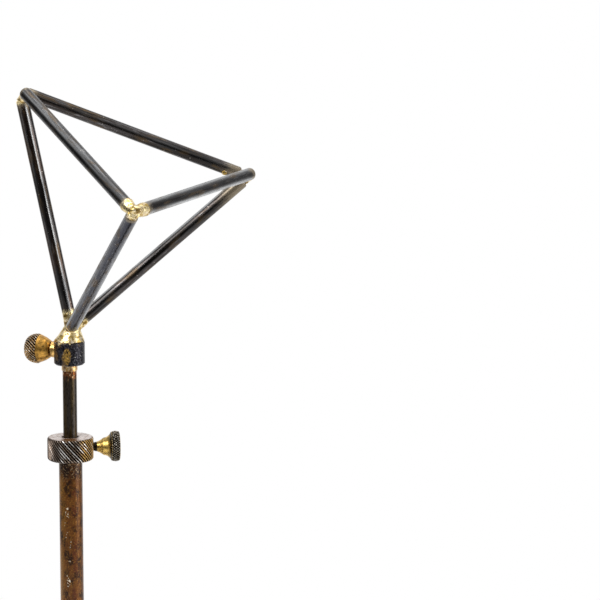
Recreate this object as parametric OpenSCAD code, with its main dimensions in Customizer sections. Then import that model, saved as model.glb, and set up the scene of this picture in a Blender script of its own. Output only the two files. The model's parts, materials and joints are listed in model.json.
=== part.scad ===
// Wire tetrahedron for drawing and geometry lessons, on a telescopic column with two thumbscrews.
// The axis of the column is Z, the felt under the base lies on Z = 0, and -Y faces the viewer.

/* [Base] */
// Diameter of the cast base
base_d = 120; // [100:1:170]
// Height of the outer edge of the casting
base_rim_h = 8; // [6:0.5:12]
// Height of the casting from its underside to the top of its hub
base_h = 24; // [20:0.5:36]
// Diameter of the hub at its top
hub_d = 24; // [20:0.5:32]
// Radius that eases the top of the outer edge
rim_round = 3; // [1:0.5:5]
// Diameter of the hollow under the hub
recess_d = 34; // [26:1:60]
// Depth of the hollow under the hub
recess_h = 11; // [9:0.5:14]
// Thickness of the felt under the base
felt_t = 1.5; // [1:0.1:3]
// How far the felt stays inside the edge of the base
felt_inset = 3; // [1:0.5:10]

/* [Column] */
// Outer diameter of the column tube
tube_d = 12; // [11.5:0.1:15]
// Wall of the column tube
tube_wall = 1.5; // [1:0.1:1.6]
// Length of the column tube
tube_len = 173; // [160:1:260]
// Diameter of the flange between the hub and the tube
flange_d = 18; // [16:0.5:22]
// Thickness of that flange
flange_t = 3; // [2:0.5:6]
// Length of the plug inside the foot of the tube
plug_len = 14; // [8:1:24]
// Diameter of the stud that goes down through the base
stud_d = 8; // [6:0.5:10]
// How far the stud stands out below the nut
stud_end = 1.2; // [0.5:0.1:1.5]
// Width of the nut across its flats
nut_af = 13; // [12:0.5:17]
// Height of the nut
nut_h = 5; // [4:0.5:6]
// Diameter of the washer over the nut
washer_d = 22; // [18:0.5:24]
// Thickness of the washer
washer_t = 1.6; // [1:0.1:2]

/* [Clamp collar] */
// Diameter of the knurled collar at the top of the tube
collar_d = 23.6; // [20:0.1:32]
// Height of the knurled collar
collar_h = 12; // [11.5:0.5:20]
// How far the tube goes up into the collar
collar_socket = 3; // [2:0.1:3.5]
// Diameter of the eased mouth where the rod comes out
mouth_d = 8.4; // [8:0.1:10]
// Depth of that mouth
mouth_h = 1.5; // [0.5:0.1:2.5]
// Number of teeth in the knurl
collar_teeth = 44; // [30:1:64]
// Easing of the edges of the collar
collar_ease = 1; // [0.4:0.1:1.5]
// Depth of the knurl
collar_knurl = 0.55; // [0.3:0.05:0.8]
// Slant of the knurl from the vertical
knurl_slant = 43; // [0:1:50]

/* [Rod] */
// Diameter of the sliding rod
rod_d = 7.2; // [6:0.1:7.4]
// Bare length of rod between the collar and the ferrule of the head
rod_show = 37.6; // [35:0.1:60]
// How far the head can be raised from there
rod_up = 100; // [60:1:110]
// Length of the sleeve that guides the foot of the rod in the tube
sleeve_len = 16; // [10:1:24]
// How far the rod goes into the sleeve
sleeve_grip = 13; // [8:0.5:14]
// Diameter of the pin through the sleeve and the rod
pin_d = 2; // [1.5:0.1:3]

/* [Ferrule] */
// Diameter of the ferrule that carries the wire solid
ferrule_d = 15.7; // [14:0.1:20]
// Height of the ferrule
ferrule_h = 12.2; // [11.5:0.1:18]
// Metal left over the top of the rod
ferrule_cap = 2; // [1:0.1:4]
// Easing of the edges of the ferrule
ferrule_ease = 0.8; // [0.3:0.1:1.5]
// Outer diameter of the bush in the ferrule
bush_d = 8.7; // [8.5:0.1:10]
// Outer diameter of the lip of the bush, below the ferrule
lip_d = 8.1; // [7.9:0.1:8.5]
// How far the bush stands out below the ferrule
bush_lip = 3.2; // [1:0.1:5]
// Diameter of the rivet that holds the bush
rivet_d = 3.6; // [2.5:0.1:5]
// Height of the rivet above the foot of the ferrule
rivet_rise = 4.7; // [3.6:0.1:6]
// How far the rivet stands out of the ferrule
rivet_head = 0.2; // [0.1:0.05:0.6]
// Direction that the rivet faces
rivet_turn = -98; // [-130:1:-60]

/* [Thumbscrews] */
// Diameter of the threaded stems
stem_d = 5; // [4:0.1:5.2]
// Pitch of the thread
stem_pitch = 0.8; // [0.6:0.1:1.2]
// Depth of the thread
stem_thread = 0.35; // [0.2:0.05:0.5]
// Diameter of the spigot that the knob sits on
spigot_d = 3.2; // [2.5:0.1:3.4]
// Length of that spigot
spigot_len = 8; // [6:0.5:9]
// Diameter of the lower knob
low_knob_d = 15.8; // [13:0.1:20]
// Width of the knurled rim of the lower knob
low_rim = 4.2; // [3:0.1:8]
// Length of the bell of the lower knob
low_bell = 7.6; // [6:0.1:12]
// Diameter of the bead on that bell
low_bead_d = 9.2; // [8:0.1:11]
// Bare stem between the collar and the lower knob
low_show = 1.4; // [1:0.1:4]
// Direction that the lower thumbscrew points
low_turn = 8; // [-20:1:30]
// Depth of the lower thumbscrew below the top of the collar
low_drop = 5.6; // [5:0.1:6]
// Diameter of the upper knob
top_knob_d = 15.2; // [13:0.1:20]
// Width of the knurled rim of the upper knob
top_rim = 6.9; // [3:0.1:9]
// Easing of the outer edge of that rim
top_ease = 2.4; // [0.8:0.1:3]
// Length of the cone of the upper knob
top_cone = 6.5; // [4:0.1:10]
// Diameter of that cone at its small end
top_neck_d = 8.2; // [6:0.1:11]
// Direction that the upper thumbscrew points
top_turn = 162; // [110:1:170]
// Height of the upper thumbscrew above the foot of the ferrule
top_rise = 7.2; // [5.5:0.1:7.2]
// Diameter of the boss that takes the upper thumbscrew
boss_d = 8.4; // [8:0.1:11]
// How far that boss stands out of the ferrule
boss_len = 1.6; // [1.5:0.1:5]
// Bare stem between the boss and the upper knob
top_show = 0.5; // [0.4:0.1:3]
// Number of teeth in the knurl of each knob
knob_teeth = 40; // [24:1:48]
// Easing of the edges of the knurled rims
knob_ease = 0.9; // [0.4:0.1:1.4]
// Depth of the knurl of each knob
knob_knurl = 0.4; // [0.2:0.05:0.6]

/* [Wire solid] */
// Length of an edge of the tetrahedron, from corner to corner
edge = 120; // [90:1:160]
// Diameter of the wires
wire_d = 6.4; // [5:0.1:7]
// Easing of the wire ends
wire_ease = 0.7; // [0.2:0.1:1.2]
// Lean of the tetrahedron from the vertical
lean = 25.2; // [15:0.1:35]
// Direction in which it leans
heading = -32; // [-50:1:-10]
// Turn of the tetrahedron about its own axis
spin = 185.7; // [180:0.1:190]
// Height of the foot corner above the ferrule
foot_rise = 6.3; // [5:0.1:9]
// Distance of the foot corner to the right of the column
foot_side = 1.4; // [0:0.1:2.5]

/* [Wire ends] */
// How far the front wires lap in front of the left and right corners
lap = 6.2; // [5:0.1:7]
// How far the front wire laps in front of the foot corner
foot_lap = 3.8; // [3:0.1:4.5]
// Lift of the lapped ends for each millimetre of lap
lap_lift = 0.16; // [0:0.01:0.3]
// How far the front left wire runs past the left corner
front_left_over = 2.4; // [0:0.1:3]
// How far the front right wire runs past the right corner
front_right_over = 0.2; // [0:0.1:3]
// How far the left wire lies outside the left corner
left_out = 3.3; // [0:0.1:4]
// How far the top wire lies above the left corner
top_raise = 0.9; // [0:0.1:2]
// How far the top wire lies below the right corner
top_sink = 1.7; // [0:0.1:3]
// How far the top wire runs past the left corner
top_left_over = 0.5; // [0:0.1:2]
// How far the top wire stops short of the right corner
top_right_short = 6; // [4:0.1:9]
// How far the left wire stops short of the left corner
left_top_short = 2.1; // [1:0.1:5]
// How far the left wire stops short of the foot corner
left_foot_short = 4.2; // [3:0.1:6]
// How far the right wire stops short of the right corner
right_top_short = 5.2; // [4:0.1:8]
// How far the right wire stops short of the foot corner
right_foot_short = 3.2; // [2:0.1:6]
// How far the foot wire stops short of the front corner
front_foot_short = 3.1; // [1:0.1:5]
// How far the foot wire stops short of the foot corner
foot_short = 1.5; // [0.5:0.1:3]
// Room for braze at the front corner end of the front left wire
front_left_room = 0.3; // [0.2:0.1:2]
// Room for braze at the front corner end of the front right wire
front_right_room = 1.4; // [0.2:0.1:2]

/* [Braze] */
// Thickness of the braze that coats the wire ends
braze_coat = 0.5; // [0.3:0.05:0.9]
// Diameter of the bead of braze at the front corner
front_bead_d = 10.4; // [9:0.1:13]
// How far that bead lies from the corner, to the right, back and up
front_bead_shift = [0.9, -0.6, 1.4]; // [-2:0.1:2]
// Length of the coats from the front corner
front_coat = 10.5; // [9:0.1:14]
// Diameter of the beads of braze at the left and right corners
side_bead_d = 8.6; // [8:0.1:11]
// Length of the coats from the left and right corners
side_coat = 8; // [7:0.1:12]
// Length of the coats from the foot corner
foot_coat = 9; // [7:0.1:12]
// How much wider than a wire the pool of braze is at the foot corner
foot_pool = 2; // [1:0.1:4]

/* [Fits] */
// Radial clearance of the pieces that turn or slide in each other
run_gap = 0.1; // [0.05:0.01:0.15]
// Radial clearance round the threads
thread_gap = 0.1; // [0.05:0.01:0.2]
// Gap left where a screw or rod stops against another piece
stop_gap = 0.1; // [0.05:0.01:0.3]
// Gap that the braze fills between wires
braze_gap = 0.05; // [0.03:0.01:0.1]

/* [Hidden] */
$fn = 96;
eps = 0.01;
turned_ease = 0.5;

iron = "#2b2826";
cast_black = "#1f1f20";
dull_steel = "#6f6b66";
old_brass = "#6e5631";
worn_brass = "#8f6f3a";
bright_brass = "#cfae5c";
green_felt = "#2f4030";

// Heights up the column
base_z = felt_t;
recess_top_z = base_z + recess_h;
hub_z = base_z + base_h;
tube_z = hub_z + flange_t;
tube_top_z = tube_z + tube_len;
collar_z = tube_top_z - collar_socket;
collar_top_z = collar_z + collar_h;
low_screw_z = collar_top_z - low_drop;
ferrule_z = collar_top_z + rod_show;
ferrule_top_z = ferrule_z + ferrule_h;
top_screw_z = ferrule_z + top_rise;
rivet_z = ferrule_z + rivet_rise;

// The rod, from the sleeve at its foot to the blind end of the bush
tube_bore_d = tube_d - 2 * tube_wall;
rod_top_z = ferrule_top_z - ferrule_cap - stop_gap;
sleeve_top_z = tube_top_z - rod_up - stop_gap;
rod_z = sleeve_top_z - sleeve_grip;
sleeve_z = sleeve_top_z - sleeve_len;
sleeve_d = tube_bore_d - 2 * run_gap;
pin_z = rod_z + sleeve_grip / 2;

// Distances of the thumbscrew parts from the axis of the column
tip_r = rod_d / 2 + stop_gap;
low_knob_r = collar_d / 2 + low_show;
boss_r = ferrule_d / 2 + boss_len;
top_knob_r = boss_r + top_show;

// Corners of the tetrahedron
foot = [foot_side, 0, ferrule_top_z + foot_rise];
function turned(v, a) = [v.x * cos(a) - v.y * sin(a), v.x * sin(a) + v.y * cos(a), v.z];
function leaned(v, a) = [v.x * cos(a) + v.z * sin(a), v.y, v.z * cos(a) - v.x * sin(a)];
function corner(turn) =
    foot + turned(leaned(turned([edge / sqrt(3), 0, edge * sqrt(2 / 3)], spin + turn), lean), heading);
left = corner(0);
front = corner(120);
right = corner(240);

// Axes of the wires from corner to corner. A front wire laps in front of the corner where it lands.
lap_way = [0, -1, lap_lift];
out_way = [-1, 0, 0];
up_way = [0, 0, 1];
top_axis = [left + top_raise * up_way, right - top_sink * up_way];
left_axis = [left + left_out * out_way, foot];
right_axis = [right, foot];
front_left_axis = [front, left + lap * lap_way];
front_right_axis = [front, right + lap * lap_way];
front_foot_axis = [front, foot + foot_lap * lap_way];

// The lengths that the wires really have: each axis is cut short, or run past, at its two ends.
// A wire cut square this far from a corner clears the two others that meet there.
square_short = wire_d * sqrt(3) / 2;
function along(p, q, s) = p + (q - p) * s / norm(q - p);
function cut(axis, s, t) = [along(axis[0], axis[1], s), along(axis[1], axis[0], t)];
function reversed(line) = [line[1], line[0]];
top_line = cut(top_axis, -top_left_over, top_right_short);
left_line = cut(left_axis, left_top_short, left_foot_short);
right_line = cut(right_axis, right_top_short, right_foot_short);
front_left_line = cut(front_left_axis, square_short + front_left_room, -front_left_over);
front_right_line = cut(front_right_axis, square_short + front_right_room, -front_right_over);
front_foot_line = cut(front_foot_axis, front_foot_short, foot_short);

// A round bar with eased ends, standing on the origin
module bar(d, len, ease) {
    rotate_extrude()
        polygon([
            [0, 0], [d / 2 - ease, 0], [d / 2, ease],
            [d / 2, len - ease], [d / 2 - ease, len], [0, len]
        ]);
}

// Children with their Z axis on a line, standing on its first end
module on_line(line) {
    v = line[1] - line[0];
    translate(line[0])
        rotate([0, acos(v.z / norm(v)), atan2(v.y, v.x)])
            children();
}

module wire(line) {
    on_line(line) bar(wire_d, norm(line[1] - line[0]), wire_ease);
}

// The room that a wire needs in what meets it
module wire_room(line) {
    on_line(line) cylinder(h = norm(line[1] - line[0]), d = wire_d + 2 * braze_gap);
}

// A tapered coat of braze along a wire, from near the first corner of its axis
module coat(axis, len) {
    on_line(cut(axis, wire_d / 4, 0))
        cylinder(h = len - wire_d / 4, d1 = wire_d + 2 * braze_coat, d2 = wire_d + 4 * braze_gap);
}

// Children with their Z axis level, pointing out from the column at a height and a direction
module outward(z, turn) {
    translate([0, 0, z]) rotate([0, 90, turn]) children();
}

// A band of slanted teeth, standing on the origin
module knurl_band(d, len, teeth, depth, slant) {
    outline = [
        for (i = [0 : 2 * teeth - 1])
            let (r = d / 2 - (i % 2) * depth, a = 180 * i / teeth)
                [r * cos(a), r * sin(a)]
    ];
    twist = len * tan(slant) / (d / 2) * 180 / PI;
    linear_extrude(height = len, twist = twist, slices = 5) polygon(outline);
}

// The bound of a band with eased edges
module eased_band(d, len, ease) {
    bar(d + 2 * eps, len, ease);
}

module base_casting() {
    hub_r = hub_d / 2;
    edge_r = base_d / 2;
    shoulder_r = edge_r - 2 * rim_round;
    sweep = [
        for (i = [0 : 12])
            let (t = i / 12)
                [shoulder_r + (hub_r - shoulder_r) * t, base_rim_h + (base_h - base_rim_h) * pow(t, 2.4)]
    ];
    rim = [
        for (a = [0 : 15 : 90])
            [edge_r - rim_round + rim_round * cos(a), base_rim_h - rim_round + rim_round * sin(a)]
    ];
    color(cast_black)
        translate([0, 0, base_z])
            difference() {
                rotate_extrude() polygon(concat([[0, 0], [edge_r, 0]], rim, sweep, [[0, base_h]]));
                translate([0, 0, -eps]) cylinder(h = recess_h + eps, d = recess_d);
                cylinder(h = base_h + eps, d = stud_d + 2 * thread_gap);
            }
}

module base_felt() {
    color(green_felt) cylinder(h = felt_t, d = base_d - 2 * felt_inset);
}

module base_washer() {
    color(dull_steel)
        translate([0, 0, recess_top_z - washer_t])
            difference() {
                cylinder(h = washer_t, d = washer_d);
                translate([0, 0, -eps]) cylinder(h = washer_t + 2 * eps, d = stud_d + 2 * thread_gap);
            }
}

module base_nut() {
    color(dull_steel)
        translate([0, 0, recess_top_z - washer_t - nut_h])
            difference() {
                cylinder(h = nut_h, d = nut_af / cos(30), $fn = 6);
                translate([0, 0, -eps]) cylinder(h = nut_h + 2 * eps, d = stud_d + 2 * thread_gap);
            }
}

// The plug in the foot of the tube, with its flange and its stud
module column_foot() {
    stud_z = recess_top_z - washer_t - nut_h - stud_end;
    color(worn_brass) {
        translate([0, 0, stud_z]) bar(stud_d, hub_z + flange_t / 2 - stud_z, turned_ease);
        translate([0, 0, hub_z]) bar(flange_d, flange_t, turned_ease);
        translate([0, 0, tube_z - flange_t / 2])
            bar(tube_bore_d - 2 * braze_gap, plug_len + flange_t / 2, turned_ease);
    }
}

module column_tube() {
    color(old_brass)
        translate([0, 0, tube_z])
            difference() {
                cylinder(h = tube_len, d = tube_d);
                translate([0, 0, -eps]) cylinder(h = tube_len + 2 * eps, d = tube_bore_d);
            }
}

module clamp_collar() {
    color(dull_steel)
        difference() {
            translate([0, 0, collar_z])
                intersection() {
                    knurl_band(collar_d, collar_h, collar_teeth, collar_knurl, knurl_slant);
                    eased_band(collar_d, collar_h, collar_ease);
                }
            translate([0, 0, collar_z - eps]) cylinder(h = collar_socket + eps, d = tube_d + 2 * braze_gap);
            translate([0, 0, collar_z]) cylinder(h = collar_h + eps, d = rod_d + 2 * run_gap);
            translate([0, 0, collar_top_z - mouth_h]) cylinder(h = mouth_h + eps, d = mouth_d);
            outward(low_screw_z, low_turn) cylinder(h = collar_d, d = stem_d + 2 * thread_gap);
        }
}

// A threaded stem from the rod out to a knob, with the spigot that the knob sits on
module stem(knob_r) {
    len = knob_r - tip_r;
    turns = floor((len - stem_pitch) / stem_pitch);
    crest_r = stem_d / 2;
    thread = [
        for (i = [0 : turns - 1])
            each [
                [crest_r, (i + 0.6) * stem_pitch],
                [crest_r, (i + 0.9) * stem_pitch],
                [crest_r - stem_thread, (i + 1.25) * stem_pitch]
            ]
    ];
    translate([0, 0, tip_r])
        rotate_extrude()
            polygon(concat(
                [[0, 0], [crest_r - stem_thread, 0]],
                thread,
                [
                    [crest_r, len], [spigot_d / 2, len],
                    [spigot_d / 2, len + spigot_len], [0, len + spigot_len]
                ]
            ));
}

// The blind hole of a knob, round its spigot
module spigot_room() {
    translate([0, 0, -eps]) cylinder(h = spigot_len + stop_gap + eps, d = spigot_d + run_gap);
}

module low_screw_stem() {
    color(iron) outward(low_screw_z, low_turn) stem(low_knob_r);
}

// Bell-shaped knob: a thin neck, a bead, a hollow flare and a knurled rim
module low_screw_knob() {
    neck_r = stem_d / 2;
    bead_r = low_bead_d / 2;
    rim_r = low_knob_d / 2;
    flare = [
        for (i = [0 : 6])
            let (t = i / 6)
                [bead_r + (rim_r - knob_knurl - bead_r) * pow(t, 2.2), low_bell * (0.6 + 0.4 * t)]
    ];
    color(worn_brass)
        outward(low_screw_z, low_turn)
            translate([0, 0, low_knob_r + run_gap])
                difference() {
                    union() {
                        rotate_extrude()
                            polygon(concat(
                                [
                                    [0, 0], [neck_r, 0], [neck_r, 0.14 * low_bell],
                                    [neck_r + 0.3 * (bead_r - neck_r), 0.24 * low_bell],
                                    [neck_r + 0.8 * (bead_r - neck_r), 0.36 * low_bell],
                                    [bead_r, 0.5 * low_bell]
                                ],
                                flare,
                                [[0, low_bell]]
                            ));
                        translate([0, 0, low_bell - eps])
                            intersection() {
                                knurl_band(low_knob_d, low_rim, knob_teeth, knob_knurl, 0);
                                eased_band(low_knob_d, low_rim, knob_ease);
                            }
                    }
                    spigot_room();
                }
}

// A level cylinder across the rod, at the pin of its guide sleeve
module cross_bar(len, d) {
    translate([0, 0, pin_z]) rotate([90, 0, 0]) cylinder(h = len, d = d, center = true);
}

// The rod has a cross hole for the pin of its guide sleeve
module sliding_rod() {
    color(iron)
        difference() {
            translate([0, 0, rod_z]) bar(rod_d, rod_top_z - rod_z, turned_ease);
            cross_bar(2 * rod_d, pin_d + braze_gap);
        }
}

module guide_sleeve() {
    color(worn_brass)
        difference() {
            translate([0, 0, sleeve_z]) bar(sleeve_d, sleeve_len, turned_ease);
            translate([0, 0, rod_z]) cylinder(h = sleeve_grip + eps, d = rod_d + braze_gap);
            cross_bar(2 * sleeve_d, pin_d + braze_gap);
        }
}

module guide_pin() {
    color(dull_steel) cross_bar(sleeve_d - 4 * run_gap, pin_d);
}

// The holes of the ferrule and its bush for the upper thumbscrew and the rivet
module ferrule_holes() {
    outward(top_screw_z, top_turn) cylinder(h = ferrule_d, d = stem_d + 2 * thread_gap);
    outward(rivet_z, rivet_turn) cylinder(h = ferrule_d, d = rivet_d + braze_gap);
}

module ferrule() {
    color(iron)
        difference() {
            translate([0, 0, ferrule_z]) bar(ferrule_d, ferrule_h, ferrule_ease);
            translate([0, 0, ferrule_z - eps])
                cylinder(h = ferrule_h - ferrule_cap + eps, d = bush_d + braze_gap);
            ferrule_holes();
        }
}

module ferrule_bush() {
    color(worn_brass)
        difference() {
            union() {
                translate([0, 0, ferrule_z + braze_gap])
                    cylinder(h = ferrule_h - ferrule_cap - 2 * braze_gap, d = bush_d);
                translate([0, 0, ferrule_z - bush_lip]) bar(lip_d, bush_lip + ferrule_h / 2, (lip_d - rod_d) / 6);
            }
            translate([0, 0, ferrule_z - bush_lip - eps])
                cylinder(h = bush_lip + ferrule_h, d = rod_d + 2 * run_gap);
            ferrule_holes();
        }
}

module bush_rivet() {
    inner_r = rod_d / 2 + 2 * run_gap;
    color(worn_brass)
        outward(rivet_z, rivet_turn)
            translate([0, 0, inner_r]) cylinder(h = ferrule_d / 2 + rivet_head - inner_r, d = rivet_d);
}

module screw_boss() {
    color(bright_brass)
        difference() {
            outward(top_screw_z, top_turn)
                translate([0, 0, ferrule_d / 4]) bar(boss_d, boss_r - ferrule_d / 4, turned_ease);
            translate([0, 0, ferrule_z - boss_d])
                cylinder(h = ferrule_h + 2 * boss_d, d = ferrule_d + braze_gap);
            outward(top_screw_z, top_turn) cylinder(h = 2 * boss_r, d = stem_d + 2 * thread_gap);
        }
}

module top_screw_stem() {
    color(iron) outward(top_screw_z, top_turn) stem(top_knob_r);
}

// Conical knob with a wide knurled rim, whose grooves slant against the collar's, and an eased end
module top_screw_knob() {
    rim_r = top_knob_d / 2;
    color(worn_brass)
        outward(top_screw_z, top_turn)
            translate([0, 0, top_knob_r + run_gap])
                difference() {
                    union() {
                        rotate_extrude()
                            polygon([
                                [0, 0], [top_neck_d / 2 - turned_ease, 0], [top_neck_d / 2, turned_ease],
                                [rim_r - 2 * knob_knurl, top_cone - turned_ease],
                                [rim_r - 2 * knob_knurl, top_cone], [0, top_cone]
                            ]);
                        translate([0, 0, top_cone - eps])
                            intersection() {
                                knurl_band(top_knob_d, top_rim, knob_teeth, knob_knurl, -knurl_slant);
                                translate([0, 0, knob_ease - top_ease])
                                    eased_band(top_knob_d, top_rim + top_ease - knob_ease, top_ease);
                            }
                    }
                    spigot_room();
                }
}

module front_left_wire() {
    color(iron) wire(front_left_line);
}

module front_right_wire() {
    color(iron) wire(front_right_line);
}

module front_foot_wire() {
    color(iron) wire(front_foot_line);
}

// The back wires are filed to fit against the wires that they meet
module top_wire() {
    color(iron)
        difference() {
            wire(top_line);
            wire_room(front_left_line);
            wire_room(front_right_line);
        }
}

module left_wire() {
    color(iron)
        difference() {
            wire(left_line);
            wire_room(front_left_line);
            wire_room(front_foot_line);
            wire_room(top_line);
        }
}

module right_wire() {
    color(iron)
        difference() {
            wire(right_line);
            wire_room(front_right_line);
            wire_room(front_foot_line);
            wire_room(top_line);
            wire_room(left_line);
        }
}

// Braze round a corner: the children and a coat on each wire that meets there, without the wires
module braze(axes, lines, coat_len) {
    color(bright_brass)
        difference() {
            union() {
                children();
                for (axis = axes) coat(axis, coat_len);
            }
            for (line = lines) wire_room(line);
        }
}

module front_braze() {
    braze(
        [front_left_axis, front_right_axis, front_foot_axis],
        [front_left_line, front_right_line, front_foot_line],
        front_coat
    )
        translate(front + front_bead_shift) sphere(d = front_bead_d);
}

module left_braze() {
    braze(
        [top_axis, left_axis],
        [top_line, left_line, front_left_line],
        side_coat
    )
        translate(left + lap / 3 * lap_way + left_out / 2 * out_way) sphere(d = side_bead_d);
}

module right_braze() {
    braze(
        [reversed(top_axis), right_axis],
        [top_line, right_line, front_right_line],
        side_coat
    )
        translate(right + lap / 3 * lap_way) sphere(d = side_bead_d);
}

// The pool of braze that joins the foot corner to the ferrule
module foot_braze() {
    braze(
        [reversed(left_axis), reversed(right_axis), reversed(front_foot_axis)],
        [left_line, right_line, front_foot_line],
        foot_coat
    )
        translate([0, 0, ferrule_top_z])
            cylinder(h = foot_rise, d1 = ferrule_d - 2 * ferrule_ease, d2 = wire_d + foot_pool);
}

base_casting();
base_felt();
base_washer();
base_nut();
column_foot();
column_tube();
clamp_collar();
low_screw_stem();
low_screw_knob();
sliding_rod();
guide_sleeve();
guide_pin();
ferrule();
ferrule_bush();
bush_rivet();
screw_boss();
top_screw_stem();
top_screw_knob();
top_wire();
left_wire();
right_wire();
front_left_wire();
front_right_wire();
front_foot_wire();
left_braze();
right_braze();
front_braze();
foot_braze();
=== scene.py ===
"""Looks of a wire tetrahedron on a telescopic stand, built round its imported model."""

import json
import math

import bmesh
import bpy
import numpy as np
from bpy.props import FloatProperty, FloatVectorProperty, IntProperty, PointerProperty
from mathutils import Matrix, Vector, noise


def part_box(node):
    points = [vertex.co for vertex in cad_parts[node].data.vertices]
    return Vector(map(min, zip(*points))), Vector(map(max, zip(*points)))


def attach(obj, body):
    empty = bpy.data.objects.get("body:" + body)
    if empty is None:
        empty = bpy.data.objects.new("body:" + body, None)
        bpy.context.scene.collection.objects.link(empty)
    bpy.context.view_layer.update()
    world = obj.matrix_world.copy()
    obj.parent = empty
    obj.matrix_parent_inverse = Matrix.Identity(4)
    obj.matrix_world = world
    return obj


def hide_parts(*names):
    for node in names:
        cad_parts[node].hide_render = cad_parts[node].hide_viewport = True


bl_info = {
    "name": "Wire Tetrahedron Stand",
    "version": (1, 0, 0),
    "blender": (4, 5, 0),
    "location": "3D View > Sidebar > Stand",
    "description": "Dresses the packed model of a wire tetrahedron on a telescopic stand",
    "category": "Object",
}

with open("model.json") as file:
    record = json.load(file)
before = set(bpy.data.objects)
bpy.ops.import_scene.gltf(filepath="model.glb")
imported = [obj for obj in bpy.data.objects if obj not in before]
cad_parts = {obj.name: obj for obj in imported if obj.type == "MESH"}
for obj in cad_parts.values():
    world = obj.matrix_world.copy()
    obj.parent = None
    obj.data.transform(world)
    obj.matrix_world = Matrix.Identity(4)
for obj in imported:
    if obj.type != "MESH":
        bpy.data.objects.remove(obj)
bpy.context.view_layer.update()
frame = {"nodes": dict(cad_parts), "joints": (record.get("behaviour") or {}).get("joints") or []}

MM = 0.001
RIGHT, BACK, UP = (1, 0, 0), (0, 1, 0), (0, 0, 1)

NODES = frame["nodes"]
JOINTS = {joint["name"]: joint for joint in frame["joints"]}
COLLAR_FOOT, COLLAR_TOP = (corner.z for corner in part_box("clamp_collar"))
FERRULE_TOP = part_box("ferrule")[1].z

# Meshes: the least angle of a sharp edge, the points of a rounded edge, and the sides of round pieces
SHARP = math.radians(35)
ARC_STEPS = 5
FELT_SIDES, WIRE_SIDES, TAPER_SIDES, FLOOR_SIDES = 180, 96, 40, 128

# How far a braze may reach past its CAD node, and the length of its waves
BRAZE_ROOM = Vector((2.5, 2.5, 0.8)) * MM
BRAZE_WAVELENGTH = 3.5 * MM

# The floor's radius in metres, and where it fades to white, in millimetres from its middle
FLOOR_R = 0.6
FLOOR_FADE = (120, 320)
# Place of each soft lamp, its size in metres and its power in watts
LAMPS = {
    "key": ((-0.9, -1.0, 1.4), 0.8, 16),
    "fill": ((1.5, -0.45, 0.4), 1.2, 13),
    "top": ((0.1, 0.2, 1.8), 1.2, 10),
}
LAMP_AIM = Vector((0.02, 0, 0.28))
# The camera's place from the top of the collar, how far it looks down in degrees, and its sensor and lens
CAMERA_PLACE = Vector((117.27, -1651.7, 341.1)) * MM
LOOK_DOWN = 9.3
SENSOR, LENS = 36, 198


def radius_of(node):
    """Half of the width of a round CAD node, in metres."""
    low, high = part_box(node)
    return (high.x - low.x) / 2


def screen(red, green, blue):
    """A linear colour from the red, green and blue, 0 to 255, that a screen shows."""
    parts = [value / 255 for value in (red, green, blue)]
    return [p / 12.92 if p <= 0.04045 else ((p + 0.055) / 1.055) ** 2.4 for p in parts]


def tint(name, about, red, green, blue):
    """A colour property, from the colour that a screen shows."""
    return FloatVectorProperty(
        name=name, description=about, subtype="COLOR", size=3, min=0, max=1, default=screen(red, green, blue)
    )


def span(name, about, size):
    """A length property, from a size in millimetres."""
    return FloatProperty(name=name, description=about, default=size * MM, unit="LENGTH", precision=5)


def tally(name, about, number):
    """A property for how many teeth or grooves go round a piece."""
    return IntProperty(name=name, description=about, default=number, min=20, max=80)


class StandSizes(bpy.types.PropertyGroup):
    """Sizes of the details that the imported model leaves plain."""

    collar_teeth: tally("Collar teeth", "Teeth round the collar", 44)
    collar_slant: FloatProperty(
        name="Slant", description="Slant of the collar's teeth and of the upper knob's grooves",
        default=math.radians(43), subtype="ANGLE",
    )
    knob_teeth: tally("Knob teeth", "Teeth round the lower knob", 36)
    knob_grooves: tally("Knob grooves", "Grooves round the upper knob", 28)
    knurl_depth: span("Knurl depth", "Depth of the collar's knurl, which the knobs' knurls follow", 0.6)
    braze_cell: span("Braze cell", "Size of the cells of the braze's mesh", 0.3)
    braze_wave: span("Braze wave", "Height of the waves in the braze", 0.2)
    felt_wave: span("Felt wave", "Unevenness of the felt's cut edge", 0.25)


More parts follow.
